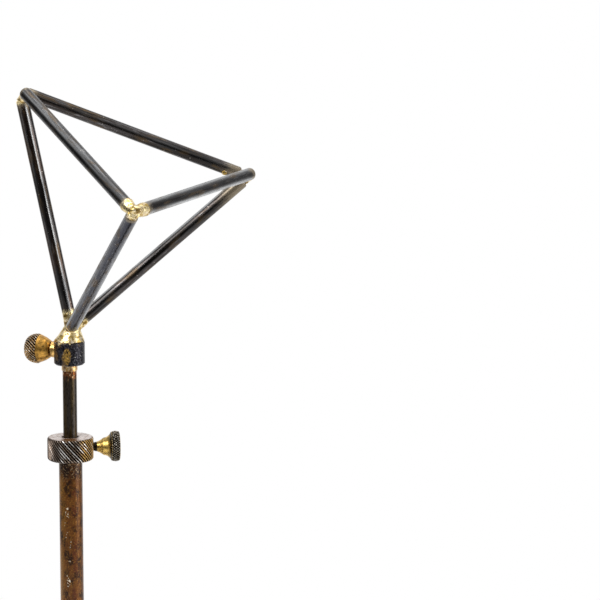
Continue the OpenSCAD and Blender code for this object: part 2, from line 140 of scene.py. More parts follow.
class StandColours(bpy.types.PropertyGroup):
    """Colours of the metals and the felt."""

    patina: tint("Patina", "Brown patina of the tube", 112, 66, 20)
    patina_dark: tint("Dark patina", "Darkest patina of the tube", 48, 20, 1)
    patina_olive: tint("Olive patina", "Rubbed patina on one side of the tube", 164, 116, 46)
    rod: tint("Rod", "Blackened rod", 66, 60, 54)
    rod_gold: tint("Rod streaks", "Brown streaks along the rod", 84, 68, 38)
    # Darker than the rod, as painted shade on the stems
    stem: tint("Stems", "Black of the thumbscrews' stems", 30, 25, 21)
    wire: tint("Wire", "Blackened steel of the wires", 82, 83, 85)
    wire_dark: tint("Wire scale", "Mill scale left on the wires", 52, 49, 47)
    # The colour of the bands painted along the wires as highlights and reflections
    wire_highlight: tint("Bright wire", "Steel of the wires where it is rubbed bright", 206, 208, 210)
    wire_cool: tint("Cool wire", "Blue-grey tint of the front wires", 62, 63, 72)
    rust: tint("Rust", "Brown tint of the back wires", 86, 62, 46)
    stain: tint("Wire stain", "Olive-brown stains on the wires", 98, 80, 56)
    heat: tint("Heat tint", "Tint of the steel beside the braze", 136, 124, 104)
    braze: tint("Braze", "Bright braze", 246, 226, 172)
    braze_dark: tint("Dull braze", "Dull braze in the hollows", 190, 160, 86)
    brass: tint("Brass", "Worn brass of the bush", 214, 168, 90)
    brass_dark: tint("Dark brass", "Dark spots on the knobs and the boss", 64, 46, 24)
    # Pale partly as a painted reflection of the white background in the collar's flat top
    collar: tint("Collar", "Rubbed top of the collar", 208, 196, 191)
    collar_dark: tint("Collar grooves", "Dirt in the collar's grooves", 16, 10, 7)
    ferrule: tint("Ferrule", "Blue-black ferrule", 84, 82, 88)
    ferrule_brown: tint("Ferrule stain", "Brown patches on the ferrule", 134, 108, 72)
    japan: tint("Base", "Black finish of the base", 24, 23, 24)
    casting: tint("Worn base", "Iron where the base is worn", 92, 86, 80)
    steel: tint("Steel", "Dull steel of the nut, washer and pin", 150, 146, 140)
    felt: tint("Felt", "Pressed felt", 58, 84, 62)


class StandSettings(bpy.types.PropertyGroup):
    """All settings of the stand."""

    sizes: PointerProperty(type=StandSizes)
    colours: PointerProperty(type=StandColours)


# Lesser shades of wear, dirt and drips, and of painted shadow, shade, highlights and glints
TUBE_RED = screen(96, 46, 22)
TUBE_GRAIN = screen(40, 20, 4)
TUBE_SHADOW = screen(24, 12, 4)
TUBE_SPECKLE = screen(190, 166, 132)
TUBE_PIT = screen(236, 222, 196)
ROD_GRAIN = screen(24, 17, 10)
ROD_DRIP = screen(134, 78, 40)
ROD_BEAD = screen(238, 200, 152)
WIRE_GRAIN = screen(34, 30, 27)
WIRE_HIGHLIGHT_LINE = screen(246, 246, 244)
WIRE_SCUFF = screen(158, 158, 160)
WIRE_NICK = screen(196, 190, 182)
BRAZE_PALE = screen(255, 240, 218)
BRAZE_STAIN = screen(116, 88, 40)
KNOB_FLARE_SHADE = screen(38, 34, 30)
KNOB_GLINT = screen(244, 238, 226)
COLLAR_MOTTLE = screen(158, 138, 124)
COLLAR_STAIN = screen(112, 78, 46)
COLLAR_CREST = screen(142, 124, 108)
COLLAR_GILT = screen(186, 146, 80)
COLLAR_DULL = screen(92, 80, 72)
COLLAR_GLINT = screen(255, 252, 248)
FERRULE_DARK = screen(20, 19, 24)
FERRULE_SPOT = screen(196, 190, 180)
FERRULE_PIT = screen(12, 11, 12)
FERRULE_GOLD = screen(190, 150, 74)
BUSH_PALE = screen(250, 226, 190)
BUSH_DRIP = screen(122, 74, 36)
BASE_BROWN = screen(44, 38, 33)
BASE_SCUFF = screen(96, 90, 84)
STEEL_STAIN = screen(112, 98, 82)
FELT_DARK = screen(40, 60, 44)
FELT_TUFT = screen(82, 108, 84)


class Value:
    """A node's output. Arithmetic on it adds Math nodes."""

    def __init__(self, graph, socket):
        self.graph = graph
        self.socket = socket

    def math(self, operation, *values):
        """The output of a new Math node."""
        return self.graph.node("ShaderNodeMath", {"operation": operation}, dict(enumerate(values)))

    def __add__(self, other):
        return self.math("ADD", self, other)

    def __sub__(self, other):
        return self.math("SUBTRACT", self, other)

    def __rsub__(self, other):
        return self.math("SUBTRACT", other, self)

    def __mul__(self, other):
        return self.math("MULTIPLY", self, other)

    __radd__ = __add__
    __rmul__ = __mul__


class Graph:
    """A node tree that is written as expressions."""

    def __init__(self, tree):
        self.tree = tree

    def node(self, kind, settings=None, inputs=None, output=0):
        """The output of a new node, after its settings and then its sockets are set."""
        made = self.tree.nodes.new(kind)
        for key, value in (settings or {}).items():
            setattr(made, key, value)
        for key, value in (inputs or {}).items():
            self.feed(made.inputs[key], value)
        return Value(self, made.outputs[output])

    def feed(self, socket, value):
        """Links a value to a socket, or sets the socket to a number, a colour or a vector."""
        if isinstance(value, Value):
            self.tree.links.new(value.socket, socket)
        elif socket.type == "RGBA":
            socket.default_value = (*value[:3], 1)
        else:
            socket.default_value = value

    def band(self, value, low, high):
        """0 below low, 1 above high and a smooth step between. It falls where low is above high."""
        inputs = {"From Min": low, "From Max": high, "Value": value}
        if low > high:
            inputs.update({"From Min": high, "From Max": low, "To Min": 1, "To Max": 0})
        return self.node("ShaderNodeMapRange", {"interpolation_type": "SMOOTHSTEP"}, inputs)

    def mix(self, factor, first, second):
        """A colour between two colours."""
        return self.node("ShaderNodeMix", {"data_type": "RGBA"}, {0: factor, 6: first, 7: second}, 2)

    def greatest(self, first, second):
        """The greater of two values."""
        return first.math("MAXIMUM", first, second)


class Finish(Graph):
    """A metal or felt finish, with patterns measured in millimetres on the piece itself."""

    def __init__(self, name, place=None):
        self.material = bpy.data.materials.new(name)
        self.material.use_nodes = True
        super().__init__(self.material.node_tree)
        self.shader = self.tree.nodes["Principled BSDF"]
        if place:
            self.place = self.node("ShaderNodeAttribute", {"attribute_name": place}, output="Vector")
        else:
            self.place = self.node("ShaderNodeTexCoord", output="Object")

    def along(self, axis):
        """The place along X, Y or Z, in millimetres."""
        return self.node("ShaderNodeSeparateXYZ", inputs={0: self.place}, output=axis) * (1 / MM)

    def spread(self, size, stretch=(1, 1, 1), seed=0.0, place=None):
        """The place scaled so that a pattern's features have a size, stretched along the axes."""
        scale = [1 / (size * MM * part) for part in stretch]
        inputs = {0: place or self.place, 1: scale, 2: (seed, seed, seed)}
        return self.node("ShaderNodeVectorMath", {"operation": "MULTIPLY_ADD"}, inputs)

    def noise(self, size, stretch=(1, 1, 1), seed=0.0, detail=3.0, place=None):
        """Soft noise, about 0.5 on average."""
        inputs = {"Vector": self.spread(size, stretch, seed, place), "Scale": 1.0, "Detail": detail}
        return self.node("ShaderNodeTexNoise", inputs=inputs)

    def spots(self, size, stretch=(1, 1, 1), seed=0.0):
        """The distance from the nearest of scattered points, 0 at a point."""
        inputs = {"Vector": self.spread(size, stretch, seed), "Scale": 1.0}
        return self.node("ShaderNodeTexVoronoi", inputs=inputs)

    def apart(self, value, target):
        """How far a value is from a target."""
        away = value - target
        return away.math("ABSOLUTE", away)

    def painted(self, name):
        """A value that the mesh carries."""
        return self.node("ShaderNodeAttribute", {"attribute_name": name}, output="Fac")

    def outward(self):
        """The distance from the Z axis, in millimetres."""
        across, back = self.along("X"), self.along("Y")
        return across.math("SQRT", across * across + back * back)

    def lane(self):
        """The place on a knurled piece as it would be if its grooves ran straight up."""
        return self.node("ShaderNodeAttribute", {"attribute_name": "lane"}, output="Vector")

    def coat(self, **sockets):
        """Sets the shader's sockets, named with _ for a space."""
        for key, value in sockets.items():
            self.feed(self.shader.inputs[key.replace("_", " ")], value)
        return self.material

    def bump(self, height, distance):
        """A normal from a height, with the height of its steps in millimetres."""
        inputs = {"Height": height, "Distance": distance * MM}
        return self.node("ShaderNodeBump", inputs=inputs, output="Normal")


def tube_finish(colours):
    """Brown patina, olive where rubbed, a red streak, pale pits and a dark band of painted shadow under the
    collar.
    """
    finish = Finish("tube_patina")
    across, along = finish.along("X"), finish.along("Z")
    blots = finish.noise(5, (1, 1, 2), 7)
    cloud = finish.noise(2.4, (1, 1, 1.8), 3, 5)
    grain = finish.noise(0.55, (1, 1, 1.2), 11, 5)
    speckle = finish.noise(0.8, seed=19, detail=2)
    collar_foot = COLLAR_FOOT / MM
    under_collar = finish.band(along + cloud * 8, collar_foot - 8, collar_foot)
    row = finish.band(finish.apart(across + blots * 6, 1.4), 1.3, 0.4)
    cluster = finish.band(finish.noise(3.2, (1, 1, 1.4), 53), 0.46, 0.54)
    pitted_from = finish.band(along + blots * 60, collar_foot - 70, collar_foot - 30)
    pitted_to = finish.band(along, collar_foot - 20, collar_foot - 26)
    crowded = row * cluster * (pitted_from * pitted_to) * 0.97 + 0.03
    pits = finish.band(finish.noise(0.8, seed=2, detail=2), 0.55, 0.62) * crowded
    streak = finish.band(finish.apart(across + blots * 3, 3.6), 1.6, 0.4)
    red = streak * finish.band(finish.noise(9, seed=31), 0.42, 0.58)
    rubbed = finish.band(across + cloud * 5, 1.5, -2.5) * finish.band(blots, 0.36, 0.6)
    clouded = finish.band(cloud + (blots - 0.5) * 0.5, 0.36, 0.6)
    colour = finish.mix(clouded, colours.patina_dark, colours.patina)
    colour = finish.mix(rubbed * 0.6, colour, colours.patina_olive)
    colour = finish.mix(red * 0.75, colour, TUBE_RED)
    colour = finish.mix(finish.band(speckle, 0.52, 0.66) * 0.5, colour, colours.patina_olive)
    colour = finish.mix(finish.band(grain, 0.47, 0.34) * 0.75, colour, TUBE_GRAIN)
    # Painted shadow under the collar, broken by the grain
    colour = finish.mix(under_collar * finish.band(grain, 0.68, 0.4) * 0.9, colour, TUBE_SHADOW)
    colour = finish.mix(under_collar * finish.band(speckle, 0.57, 0.64) * 0.5, colour, TUBE_SPECKLE)
    colour = finish.mix(finish.band(pits, 0.3, 0.7), colour, TUBE_PIT)
    return finish.coat(
        Base_Color=colour, Metallic=0.6, Roughness=0.3 + grain * 0.24, Specular_IOR_Level=0.25,
        Coat_Weight=0.3, Coat_Roughness=0.16,
        Normal=finish.bump(grain * 0.6 + cloud * 0.3 - pits, 0.05),
    )


def rod_finish(name, colours, plain):
    """Blackened steel with brown streaks along it, and brass that ran down from the bush."""
    finish = Finish(name)
    streaks = finish.noise(1.6, (1, 1, 20), 5)
    grain = finish.noise(0.7, (1, 1, 3), 9, 5)
    blots = finish.noise(5, (1, 1, 4), 4)
    lip_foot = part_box("ferrule_bush")[0].z / MM
    ragged = finish.noise(1.6, (1, 1, 2), 23, 4)
    drips = finish.band(finish.along("Z") + ragged * 9, lip_foot - 0.5, lip_foot + 2.5)
    # Pale beads in the drips, partly painted highlights
    beads = finish.band(finish.noise(0.9, (1, 1, 1.5), 8, 2), 0.56, 0.64) * drips
    streaked = finish.band(streaks, 0.42, 0.6) * finish.band(blots, 0.3, 0.6)
    colour = finish.mix(streaked, plain, colours.rod_gold)
    colour = finish.mix(finish.band(grain, 0.47, 0.36) * 0.7, colour, ROD_GRAIN)
    colour = finish.mix(drips * finish.band(grain, 0.36, 0.54), colour, ROD_DRIP)
    colour = finish.mix(beads, colour, ROD_BEAD)
    return finish.coat(
        Base_Color=colour, Metallic=0.9, Roughness=0.22 + grain * 0.2,
        Normal=finish.bump(grain * 0.6 + streaks * 0.4 + beads, 0.03),
    )


def wire_finish(colours):
    """Rubbed steel: long streaks of mill scale, brown stains, heat tints, end films of braze, painted
    highlights.
    """
    finish = Finish("wire_steel", "own_place")
    streaks = finish.noise(1.2, (1, 1, 30), 2)
    scale = finish.noise(4, (1, 1, 7), 8)
    grain = finish.noise(0.5, (1, 1, 3), 6, 5)
    rust = finish.band(finish.noise(3, (1, 1, 4), 13, 4), 0.52, 0.66)
    scuffs = finish.band(finish.noise(0.55, (1, 1, 14), 37, 4), 0.57, 0.68) * finish.band(scale, 0.4, 0.6)
    nicks = finish.band(finish.spots(3.2, (1, 1, 0.5), 4), 0.1, 0.05)
    heat = finish.painted("heated")
    film = finish.painted("film")
    tone = finish.painted("tone")
    # Painted highlights and reflections: the bright bands, with thin white lines at their peaks
    bright = finish.painted("rubbed") * finish.band(scale * 0.4 + streaks * 0.6, 0.3, 0.52)
    colour = finish.mix(finish.band(scale * 0.5 + streaks * 0.5, 0.4, 0.6), colours.wire_dark, colours.wire)
    colour = finish.mix(finish.band(tone, 0, 1), colour, colours.wire_cool)
    colour = finish.mix(finish.band(tone, 0, -1) * finish.band(scale, 0.42, 0.6), colour, colours.rust)
    line = finish.band(bright, 0.8, 0.98)
    colour = finish.mix(finish.greatest(bright, line), colour, colours.wire_highlight)
    colour = finish.mix(finish.band(grain, 0.46, 0.32) * 0.5, colour, WIRE_GRAIN)
    colour = finish.mix(rust * 0.6, colour, colours.stain)
    colour = finish.mix(line * 0.9, colour, WIRE_HIGHLIGHT_LINE)
    colour = finish.mix(scuffs * 0.5, colour, WIRE_SCUFF)
    colour = finish.mix(nicks, colour, WIRE_NICK)
    tinted = finish.band(heat + (streaks - 0.5) * 0.8 + (grain - 0.5) * 0.5, 0.1, 0.6) * 0.85
    colour = finish.mix(tinted, colour, colours.heat)
    colour = finish.mix(finish.band(film + (grain - 0.5) * 0.6, 0.35, 0.6), colour, colours.braze)
    # The painted highlights are less metallic, so that they stay pale
    pale = finish.greatest(bright * bright * 0.75, line * 0.9)
    return finish.coat(
        Base_Color=colour, Metallic=1.0 - tinted * 0.55 - pale, Roughness=0.2 + scale * 0.12 + rust * 0.12,
        Normal=finish.bump(grain * 0.4 + scale * 0.6, 0.025),
    )


def braze_finish(colours):
    """Bright braze as it flowed, dull and brown in places, with pale patches painted as highlights."""
    finish = Finish("flowed_braze")
    flow = finish.noise(3.2, seed=3, detail=2)
    stain = finish.noise(2.8, seed=15, detail=4)
    grain = finish.noise(0.6, seed=21, detail=4)
    patches = finish.noise(1.3, seed=33, detail=3)
    colour = finish.mix(finish.band(flow, 0.4, 0.58), colours.braze_dark, colours.braze)
    # Pale patches painted as highlights
    colour = finish.mix(finish.band(patches, 0.52, 0.62) * 0.7, colour, BRAZE_PALE)
    stained = finish.band(stain - (patches - 0.5) * 0.4, 0.57, 0.68)
    colour = finish.mix(stained * 0.85, colour, BRAZE_STAIN)
    return finish.coat(
        Base_Color=colour, Metallic=1.0, Roughness=0.2 + stain * 0.3,
        Normal=finish.bump(flow + patches * 0.6 + grain * 0.25, 0.18),
    )


def brass_finish(name, colours, gold, crests, dirt, seed, uneven=0.0):
    """Worn brass, mottled and spotted, with dirt in its knurl and crests that may be worn unevenly, painted
    glints on the worn crests and painted shade on the lower knob's flare, under its rim.

    Its gold, crests and dirt are the colours that a screen shows.
    """
    finish = Finish(name)
    mottle = finish.noise(1.7, seed=seed, detail=4)
    blots = finish.noise(4, seed=seed + 6)
    grain = finish.noise(0.5, seed=seed + 9, detail=4)
    crest = finish.painted("crest")
    knurled = finish.painted("knurled")
    flare_shade = finish.painted("flare_shade")
    darker = screen(*(part * 0.66 for part in gold))
    colour = finish.mix(finish.band(mottle, 0.36, 0.62), darker, screen(*gold))
    colour = finish.mix(finish.band(blots, 0.6, 0.74) * 0.5, colour, colours.brass_dark)
    spots = finish.band(finish.spots(1.6, seed=seed), 0.2, 0.04)
    colour = finish.mix(spots * 0.6, colour, colours.brass_dark)
    # Painted shade on the lower knob's flare, under its rim
    colour = finish.mix(finish.band(flare_shade + (mottle - 0.5) * 0.9, 0.3, 0.6), colour, KNOB_FLARE_SHADE)
    lanes = finish.noise(1.5, (1, 1, 5), seed, place=finish.lane())
    worn = finish.band(crest + (grain - 0.5) * 0.3 + (lanes - 0.5) * uneven, 0.45, 0.8)
    knurl = finish.mix(worn, screen(*dirt), screen(*crests))
    knurl = finish.mix(finish.band(mottle, 0.5, 0.38) * 0.7, knurl, screen(*dirt))
    # Painted glints on the worn crests
    knurl = finish.mix(finish.band(grain, 0.53, 0.62) * worn, knurl, KNOB_GLINT)
    colour = finish.mix(knurled, colour, knurl)
    return finish.coat(
        Base_Color=colour, Metallic=0.92, Roughness=0.24 + mottle * 0.22 + knurled * 0.12,
        Normal=finish.bump(mottle + grain * 0.4, 0.05),
    )


def collar_finish(colours):
    """Pale crests over dark grooves with painted glints, brassy on one side and dull on the other, and a
    pale, stained top, whose paleness is partly a painted reflection.
    """
    finish = Finish("collar_brass")
    mottle = finish.noise(1.8, seed=4, detail=4)
    blots = finish.noise(4.5, seed=10)
    grain = finish.noise(0.5, seed=12, detail=4)
    crest = finish.painted("crest")
    knurled = finish.painted("knurled")
    # The top's pale colour, with little metal in it, stands partly for the white background that it reflects
    top = finish.mix(finish.band(mottle, 0.42, 0.66), colours.collar, COLLAR_MOTTLE)
    middle = finish.band(finish.apart(finish.along("X"), 0) - mottle * 4, 3.5, 1)
    stained = finish.band(finish.along("Y"), -4, -6) * middle
    top = finish.mix(stained, top, COLLAR_STAIN)
    gilt = finish.band(finish.along("X") + blots * 4, 6, 10)
    lanes = finish.noise(1.5, (1, 1, 5), 27, place=finish.lane())
    worn = finish.band(crest + (grain - 0.5) * 0.3 + (lanes - 0.5) * 1.2, 0.45, 0.95)
    side = finish.mix(worn, colours.collar_dark, COLLAR_CREST)
    side = finish.mix(gilt * worn, side, COLLAR_GILT)
    dull = finish.band(finish.along("X") + blots * 3, -2, -5) * 0.85
    side = finish.mix(dull * worn, side, COLLAR_DULL)
    # Painted glints along some crests, fewer where the collar is dull
    bright = finish.band(crest + (lanes - 0.5) * 2.6, 1.05, 1.25) * (1.0 - dull)
    side = finish.mix(bright, side, COLLAR_GLINT)
    colour = finish.mix(knurled, top, side)
    return finish.coat(
        Base_Color=colour, Metallic=0.25 + knurled * 0.65, Roughness=0.24 + mottle * 0.2,
        Normal=finish.bump(mottle * 0.6 + grain * 0.4, 0.05),
    )


def ferrule_finish(colours):
    """Blue-black steel, pitted, with brown patches, brass that ran over its top edge and round its rivet."""
    finish = Finish("ferrule_black")
    pits = finish.band(finish.spots(1.3, seed=6), 0.36, 0.12)
    patches = finish.noise(3, seed=9, detail=4)
    grain = finish.noise(0.7, seed=3, detail=5)
    ragged = finish.noise(2.4, seed=41, detail=4) - 0.5
    low, high = (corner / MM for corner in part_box("bush_rivet"))
    aside = finish.apart(finish.along("X"), (low.x + high.x) / 2)
    above = finish.apart(finish.along("Z"), (low.z + high.z) / 2 + 0.6) * 0.6
    away = aside * aside + above * above + ragged * 16
    stain = finish.band(away, 7, 2) * finish.band(finish.along("Y"), 0, -3)
    run = finish.band(finish.along("Z") + ragged * 7, FERRULE_TOP / MM - 0.7, FERRULE_TOP / MM - 0.2)
    colour = finish.mix(finish.band(grain, 0.42, 0.66), FERRULE_DARK, colours.ferrule)
    browned = finish.band(patches - finish.along("X") * 0.012, 0.52, 0.66)
    colour = finish.mix(browned * 0.8, colour, colours.ferrule_brown)
    colour = finish.mix(finish.band(finish.spots(2.2, seed=12), 0.14, 0.07), colour, FERRULE_SPOT)
    colour = finish.mix(pits * finish.band(patches, 0.4, 0.55), colour, FERRULE_PIT)
    colour = finish.mix(stain * finish.band(grain, 0.4, 0.54), colour, FERRULE_GOLD)
    colour = finish.mix(run, colour, colours.braze)
    return finish.coat(
        Base_Color=colour, Metallic=0.85, Roughness=0.26 + grain * 0.26,
        Normal=finish.bump(grain - pits * 0.8, 0.14),
    )


def bush_finish(colours):
    """Brass of the bush, with brown drips and a pale pink tint, partly painted highlights."""
    finish = Finish("bush_brass")
    drips = finish.noise(1.5, (1, 1, 2.4), 17, 4)
    grain = finish.noise(0.6, seed=2, detail=4)
    # A pale pink tint, mottled by the grain, partly painted highlights
    colour = finish.mix(finish.band(grain, 0.4, 0.6), colours.brass, BUSH_PALE)
    colour = finish.mix(finish.band(drips, 0.55, 0.62), colour, BUSH_DRIP)
    return finish.coat(
        Base_Color=colour, Metallic=0.95, Roughness=0.2 + drips * 0.25,
        Normal=finish.bump(grain + drips, 0.08),
    )


def japan_finish(colours):
    """Black japanned casting: orange-peel gloss, worn to the iron on its edges."""
    finish = Finish("japanned_iron")
    peel = finish.noise(1.6, seed=3)
    wear = finish.noise(5, seed=8, detail=5)
    chips = finish.noise(1.4, seed=22, detail=4)
    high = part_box("base_casting")[1] / MM
    rim = finish.band(finish.apart(finish.outward(), high.x - 1.2) + (wear - 0.5) * 5, 1.6, 0.4)
    edge = rim * finish.band(chips, 0.44, 0.56)
    scuffs = finish.band(finish.noise(0.7, (14, 1, 1), 31, 4), 0.6, 0.68) * finish.band(wear, 0.5, 0.6)
    colour = finish.mix(finish.band(wear, 0.4, 0.65) * 0.6, colours.japan, BASE_BROWN)
    colour = finish.mix(scuffs * 0.5, colour, BASE_SCUFF)
    colour = finish.mix(edge, colour, colours.casting)
    return finish.coat(
        Base_Color=colour, Metallic=edge * 0.8, Roughness=0.16 + wear * 0.26 + edge * 0.16,
        Normal=finish.bump(peel + wear, 0.12),
    )


def steel_finish(colours):
    """Dull plated steel with fine turning marks."""
    finish = Finish("dull_steel")
    marks = finish.noise(0.5, (6, 6, 1), 4, 4)
    stain = finish.noise(3, seed=7, detail=4)
    colour = finish.mix(finish.band(stain, 0.45, 0.66) * 0.7, colours.steel, STEEL_STAIN)
    return finish.coat(
        Base_Color=colour, Metallic=1.0, Roughness=0.34 + stain * 0.2, Normal=finish.bump(marks, 0.04)
    )


def felt_finish(colours):
    """Pressed wool felt with loose fibres."""
    finish = Finish("pressed_felt")
    fibres = finish.noise(0.35, (1, 2.4, 1), 5, 6)
    tufts = finish.noise(2.6, seed=9, detail=4)
    colour = finish.mix(finish.band(fibres, 0.36, 0.66), FELT_DARK, colours.felt)
    colour = finish.mix(finish.band(tufts, 0.52, 0.7) * 0.5, colour, FELT_TUFT)
    return finish.coat(Base_Color=colour, Roughness=0.95, Normal=finish.bump(fibres + tufts * 0.5, 0.25))


def settings_of(context):
    """The colours and the sizes that are set in a scene."""
    settings = context.scene.wire_stand
    return settings.colours, settings.sizes


def dress(material, *nodes):
    """Gives CAD nodes a material of this scene."""
    for name in nodes:
        NODES[name].data.materials.clear()
        NODES[name].data.materials.append(material)


def add_piece(name, mesh, material, body, slot, *nodes, place=None):
    """A new piece that rides on a body and stands for CAD nodes."""
    piece = bpy.data.objects.new(name, mesh)
    piece.matrix_world = place or Matrix()
    bpy.context.scene.collection.objects.link(piece)
    mesh.materials.append(material)
    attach(piece, body)
    if nodes:
        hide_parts(*nodes)
    return piece


def paint(mesh, name, values):
    """Stores one number for each vertex."""
    mesh.attributes.new(name, "FLOAT", "POINT").data.foreach_set("value", np.asarray(values, np.float32))


def paint_places(mesh, name, places):
    """Stores one place for each vertex."""
    rows = np.asarray(places, np.float32).ravel()
    mesh.attributes.new(name, "FLOAT_VECTOR", "POINT").data.foreach_set("vector", rows)


def points_of(mesh):
    """The places of a mesh's vertices, one in a row."""
    return np.array([vertex.co for vertex in mesh.vertices])


def knurl(teeth, slant, radius, flat=0.2):
    """A slanted knurl: 0 on its crests, of which a share is flat, and 1 at the bottom of its grooves."""
    rise = math.tan(slant) / radius

    def dip(turn, height):
        phase = (teeth / math.tau * (turn + rise * height)) % 1
        return np.clip((np.abs(2 * phase - 1) - flat) / (1 - flat), 0, 1)

    return dip


def unslant(mesh, slant, radius):
    """Stores each vertex's place as it would be if the slanted grooves ran straight up."""
    reach = radius * MM
    across, back, up = points_of(mesh).T
    turns = np.arctan2(back, across) + math.tan(slant) / reach * up
    paint_places(mesh, "lane", np.column_stack([reach * np.cos(turns), reach * np.sin(turns), up]))


def turned(name, profile, count, groove=None, twist=0.0, closed=False):
    """A mesh turned about Z from a profile of radii, heights and depths of a knurl, in millimetres.

    A twist turns its rings by an angle for each millimetre of height, so that its edges follow slanted
    grooves. A closed profile runs round to its first point, and another one gets a flat cap at each end.
    """
    rings, crests, knurled = [], [], []
    for radius, height, depth in profile:
        turns = np.arange(count) * math.tau / count - twist * height
        dip = groove(turns, height) if depth else np.zeros(count)
        reach = radius - depth * dip
        rings.append(np.column_stack([reach * np.cos(turns), reach * np.sin(turns), np.full(count, height)]))
        crests.append(1 - dip if depth else np.zeros(count))
        knurled.append(np.full(count, 1.0 if depth else 0.0))
    last = len(profile) - 1
    steps = [(ring, ring + 1) for ring in range(last)] + ([(last, 0)] if closed else [])
    faces = [
        (low * count + a, low * count + (a + 1) % count, high * count + (a + 1) % count, high * count + a)
        for low, high in steps
        for a in range(count)
    ]
    if not closed:
        faces.append(tuple(range(count))[::-1])
        faces.append(tuple(last * count + a for a in range(count)))
    mesh = bpy.data.meshes.new(name)
    mesh.from_pydata((np.vstack(rings) * MM).tolist(), [], faces)
    paint(mesh, "crest", np.concatenate(crests))
    paint(mesh, "knurled", np.concatenate(knurled))
    mesh.shade_smooth()
    mesh.set_sharp_from_angle(angle=SHARP)
    return mesh


def rounded(radius, height, size):
    """The lower and the upper rounded edge of an upright bar, as two lists of points."""
    turns = [math.pi / 2 * step / ARC_STEPS for step in range(ARC_STEPS + 1)]
    under = [(radius - size + size * math.sin(t), size - size * math.cos(t)) for t in turns]
    over = [(radius - size + size * math.cos(t), height - size + size * math.sin(t)) for t in turns]
    return under, over


def screw_place(joint):
    """Where a thumbscrew's own frame lies: its Z points out of the column and its X points up."""
    out = Vector(joint["axis"]).normalized()
    up = Vector(UP)
    turn = Matrix((up, out.cross(up), out)).transposed()
    return Matrix.Translation(joint["pos_m"]) @ turn.to_4x4()


def reach_along(node, place):
    """The nearest and furthest point of a CAD node along Z of a place, in millimetres."""
    inverse = place.inverted()
    heights = [(inverse @ vertex.co).z / MM for vertex in NODES[node].data.vertices]
    return min(heights), max(heights)


class Bar:
    """The axis of a straight round CAD node, from the end that lies lowest along a direction."""

    def __init__(self, node, first):
        mesh = NODES[node].data
        points = points_of(mesh)
        normals = np.array([face.normal for face in mesh.polygons])
        areas = np.array([face.area for face in mesh.polygons])
        vectors = np.linalg.eigh((normals * areas[:, None]).T @ normals)[1]
        way = vectors[:, 0] * np.sign(vectors[:, 0] @ np.array(first))
        sides = [points @ vectors[:, side] for side in (1, 2)]
        middle = sum((side.min() + side.max()) / 2 * vectors[:, 1 + k] for k, side in enumerate(sides))
        self.way = Vector(way)
        self.start = Vector(middle + way * (points @ way).min())
        self.end = Vector(middle + way * (points @ way).max())
        self.radius = (sides[0].max() - sides[0].min()) / 2

    def at(self, length):
        """A point on the axis, in millimetres from the first end."""
        return self.start + self.way * (length * MM)

    def back_from_end(self, length):
        """A point on the axis, in millimetres from the second end."""
        return self.end - self.way * (length * MM)

    def place(self):
        """Its frame: Z along the bar from the first end, Y away from the front."""
        side = Vector(BACK).cross(self.way).normalized()
        turn = Matrix((side, self.way.cross(side), self.way)).transposed()
        return Matrix.Translation(self.start) @ turn.to_4x4()


def meeting(*bars):
    """The point nearest to the axes of some bars."""
    system, target = np.zeros((3, 3)), np.zeros(3)
    for bar in bars:
        way = np.array(bar.way)
        across = np.eye(3) - np.outer(way, way)
        system += across
        target += across @ np.array(bar.start)
    return Vector(np.linalg.solve(system, target))


# The way in which each wire runs from its first end to its second
WIRE_WAYS = {
    "top_wire": RIGHT,
    "left_wire": UP,
    "right_wire": UP,
    "front_left_wire": BACK,
    "front_right_wire": BACK,
    "front_foot_wire": BACK,
}
WIRES = {node: Bar(node, way) for node, way in WIRE_WAYS.items()}
WIRE_R = WIRES["top_wire"].radius
# Tone of each wire, from -1 warm to 1 cool, and its bright bands, which are painted highlights and
# reflections:
# how far they lie off its middle and their half width, in shares of its radius, and their strength at the
# first and the second end
WIRE_TONES = {
    "top_wire": (-0.3, [(-0.31, 0.25, 0.05, 0.12)]),
    "left_wire": (-0.6, [(0.41, 0.09, 1.3, 1.6), (-0.55, 0.12, 0.1, 0.3)]),
    "right_wire": (-0.3, [(-0.9, 0.12, 0.8, 0.8)]),
    "front_left_wire": (0.1, [(0.2, 0.32, 0.12, 0.55)]),
    "front_right_wire": (0.2, [(0.75, 0.35, 0.8, 0.8), (-0.95, 0.15, 0.4, 0.4)]),
    "front_foot_wire": (1.0, [(0.85, 0.4, 0.15, 0.45), (-0.6, 0.45, 0.05, 0.4), (-0.9, 0.2, 0.1, 0.2)]),
}
# Heat tint and film of braze from the first and the second end of each wire, in millimetres
WIRE_ENDS = {
    "top_wire": ((8, 0.1), (14, 0.1)),
    "left_wire": ((8, 5), (7, 2)),
    "right_wire": ((10, 5), (26, 0.1)),
    "front_left_wire": ((5, 1.6), (4, 0.1)),
    "front_right_wire": ((9, 2.4), (7, 0.1)),
    "front_foot_wire": ((3, 0.1), (4, 0.4)),
}


